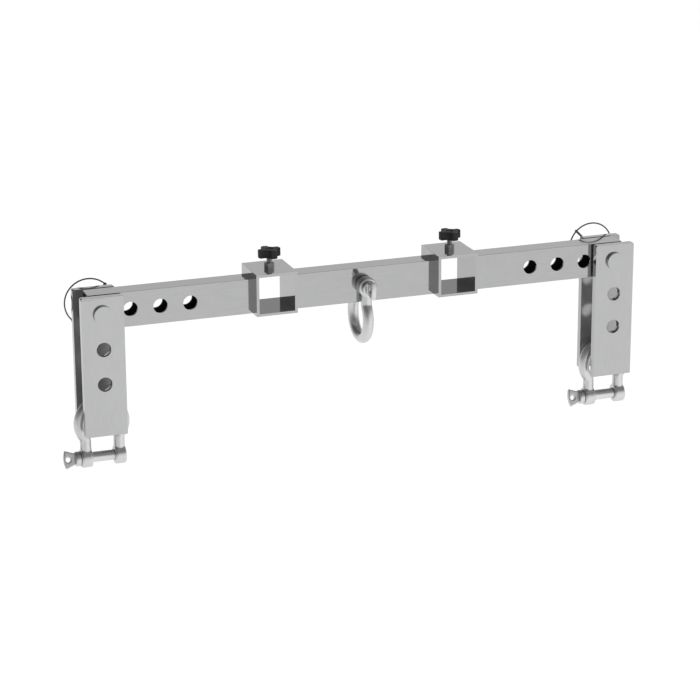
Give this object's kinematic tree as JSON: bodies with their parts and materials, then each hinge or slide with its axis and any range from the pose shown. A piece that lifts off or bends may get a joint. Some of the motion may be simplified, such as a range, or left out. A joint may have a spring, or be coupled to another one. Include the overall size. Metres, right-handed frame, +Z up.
{
  "type": "spreader beam",
  "caption": "Lifting beam that slides onto truck forks: tube with square fork sleeves and clamp screws, a bow shackle under its middle, and pinned plate hangers with shackles at the ends.",
  "frame": {"origin": "half way between the axes of the two fork sleeves, at mid length of the sleeves", "axes": "+X along the beam, +Y from the front of the beam to its back, along the sleeves, +Z up; the clevis heads are at the front"},
  "size_m": [0.8635, 0.1055, 0.2895],
  "materials": {
    "beam_steel": "smooth bright grey",
    "sleeve_steel": "smooth bright grey",
    "screw_steel": "bright zinc plate",
    "knob_plastic": "black, slightly glossy",
    "plate_steel": "smooth bright grey",
    "clevis_steel": "turned, bright zinc plate",
    "spring_steel": "dark drawn wire",
    "shackle_steel": "forged, polished zinc plate"
  },
  "bodies": {
    "beam": {"beam_left_arm": "beam_steel", "beam_centre_section": "beam_steel", "beam_right_arm": "beam_steel", "left_fork_sleeve": "sleeve_steel", "right_fork_sleeve": "sleeve_steel", "left_weld_nut": "screw_steel", "right_weld_nut": "screw_steel"},
    "left_hanger": {"left_front_plate": "plate_steel", "left_back_plate": "plate_steel", "left_shackle_bar": "plate_steel"},
    "left_clevis_pin": {"left_clevis_pin": "clevis_steel"},
    "left_linch_pin": {"left_linch_pin": "spring_steel"},
    "left_linch_ring": {"left_linch_ring": "spring_steel"},
    "left_clamp_stud": {"left_clamp_stud": "screw_steel"},
    "left_clamp_knob": {"left_clamp_knob": "knob_plastic"},
    "right_hanger": {"right_front_plate": "plate_steel", "right_back_plate": "plate_steel", "right_shackle_bar": "plate_steel"},
    "right_clevis_pin": {"right_clevis_pin": "clevis_steel"},
    "right_linch_pin": {"right_linch_pin": "spring_steel"},
    "right_linch_ring": {"right_linch_ring": "spring_steel"},
    "right_clamp_stud": {"right_clamp_stud": "screw_steel"},
    "right_clamp_knob": {"right_clamp_knob": "knob_plastic"},
    "left_shackle_bow": {"left_shackle_bow": "shackle_steel"},
    "left_shackle_pin": {"left_shackle_pin": "shackle_steel"},
    "right_shackle_bow": {"right_shackle_bow": "shackle_steel"},
    "right_shackle_pin": {"right_shackle_pin": "shackle_steel"},
    "centre_shackle_bow": {"centre_shackle_bow": "shackle_steel"},
    "centre_shackle_pin": {"centre_shackle_pin": "shackle_steel"}
  },
  "joints": [
    {"name": "left_hanger_swing", "type": "hinge", "parent": "beam", "child": "left_hanger", "pos_m": [-0.3835, 0, -0.005], "axis": [0, 1, 0], "range_deg": [-45, 90]},
    {"name": "left_clevis_turn", "type": "hinge", "parent": "left_hanger", "child": "left_clevis_pin", "pos_m": [-0.3835, 0, -0.005], "axis": [0, 1, 0], "continuous": true},
    {"name": "left_linch_slide", "type": "slide", "parent": "left_clevis_pin", "child": "left_linch_pin", "axis": [-0.7071, 0, -0.7071], "range_m": [-0.0245, 0.0195]},
    {"name": "left_ring_flip", "type": "hinge", "parent": "left_linch_pin", "child": "left_linch_ring", "pos_m": [-0.36123, 0.042, 0.01727], "axis": [0.7071, 0, -0.7071], "range_deg": [0, 180]},
    {"name": "left_shackle_swing", "type": "hinge", "parent": "left_hanger", "child": "left_shackle_bow", "pos_m": [-0.3835, 0, -0.169], "axis": [0, 1, 0], "range_deg": [-60, 60]},
    {"name": "left_shackle_pin_out", "type": "slide", "parent": "left_shackle_bow", "child": "left_shackle_pin", "axis": [-1, 0, 0], "range_m": [0, 0.05]},
    {"name": "right_hanger_swing", "type": "hinge", "parent": "beam", "child": "right_hanger", "pos_m": [0.3835, 0, -0.005], "axis": [0, -1, 0], "range_deg": [-45, 90]},
    {"name": "right_clevis_turn", "type": "hinge", "parent": "right_hanger", "child": "right_clevis_pin", "pos_m": [0.3835, 0, -0.005], "axis": [0, 1, 0], "continuous": true},
    {"name": "right_linch_slide", "type": "slide", "parent": "right_clevis_pin", "child": "right_linch_pin", "axis": [0.7071, 0, -0.7071], "range_m": [-0.014, 0.03]},
    {"name": "right_ring_flip", "type": "hinge", "parent": "right_linch_pin", "child": "right_linch_ring", "pos_m": [0.3538, 0.042, 0.0247], "axis": [0.7071, 0, 0.7071], "range_deg": [0, 180]},
    {"name": "right_shackle_swing", "type": "hinge", "parent": "right_hanger", "child": "right_shackle_bow", "pos_m": [0.3835, 0, -0.169], "axis": [0, 1, 0], "range_deg": [-60, 60]},
    {"name": "right_shackle_pin_out", "type": "slide", "parent": "right_shackle_bow", "child": "right_shackle_pin", "axis": [-1, 0, 0], "range_m": [0, 0.05]},
    {"name": "centre_shackle_swing", "type": "hinge", "parent": "beam", "child": "centre_shackle_bow", "pos_m": [0, 0, -0.005], "axis": [0, 1, 0], "range_deg": [-60, 60]},
    {"name": "centre_shackle_pin_out", "type": "slide", "parent": "centre_shackle_bow", "child": "centre_shackle_pin", "axis": [0, -1, 0], "range_m": [0, 0.05]},
    {"name": "left_clamp_travel", "type": "slide", "parent": "beam", "child": "left_clamp_stud", "axis": [0, 0, 1], "range_m": [-0.0076, 0.0051]},
    {"name": "left_knob_turn", "type": "hinge", "parent": "left_clamp_stud", "child": "left_clamp_knob", "pos_m": [-0.1355, 0, 0.0455], "axis": [0, 0, 1], "range_deg": [-2160, 1440]},
    {"name": "right_clamp_travel", "type": "slide", "parent": "beam", "child": "right_clamp_stud", "axis": [0, 0, 1], "range_m": [-0.0076, 0.0051]},
    {"name": "right_knob_turn", "type": "hinge", "parent": "right_clamp_stud", "child": "right_clamp_knob", "pos_m": [0.1355, 0, 0.0455], "axis": [0, 0, 1], "range_deg": [-2160, 1440]}
  ],
  "couplings": [
    {"joint": "left_clamp_travel", "follows": "left_knob_turn", "m_per_rad": 0.00019894},
    {"joint": "right_clamp_travel", "follows": "right_knob_turn", "m_per_rad": 0.00019894}
  ]
}
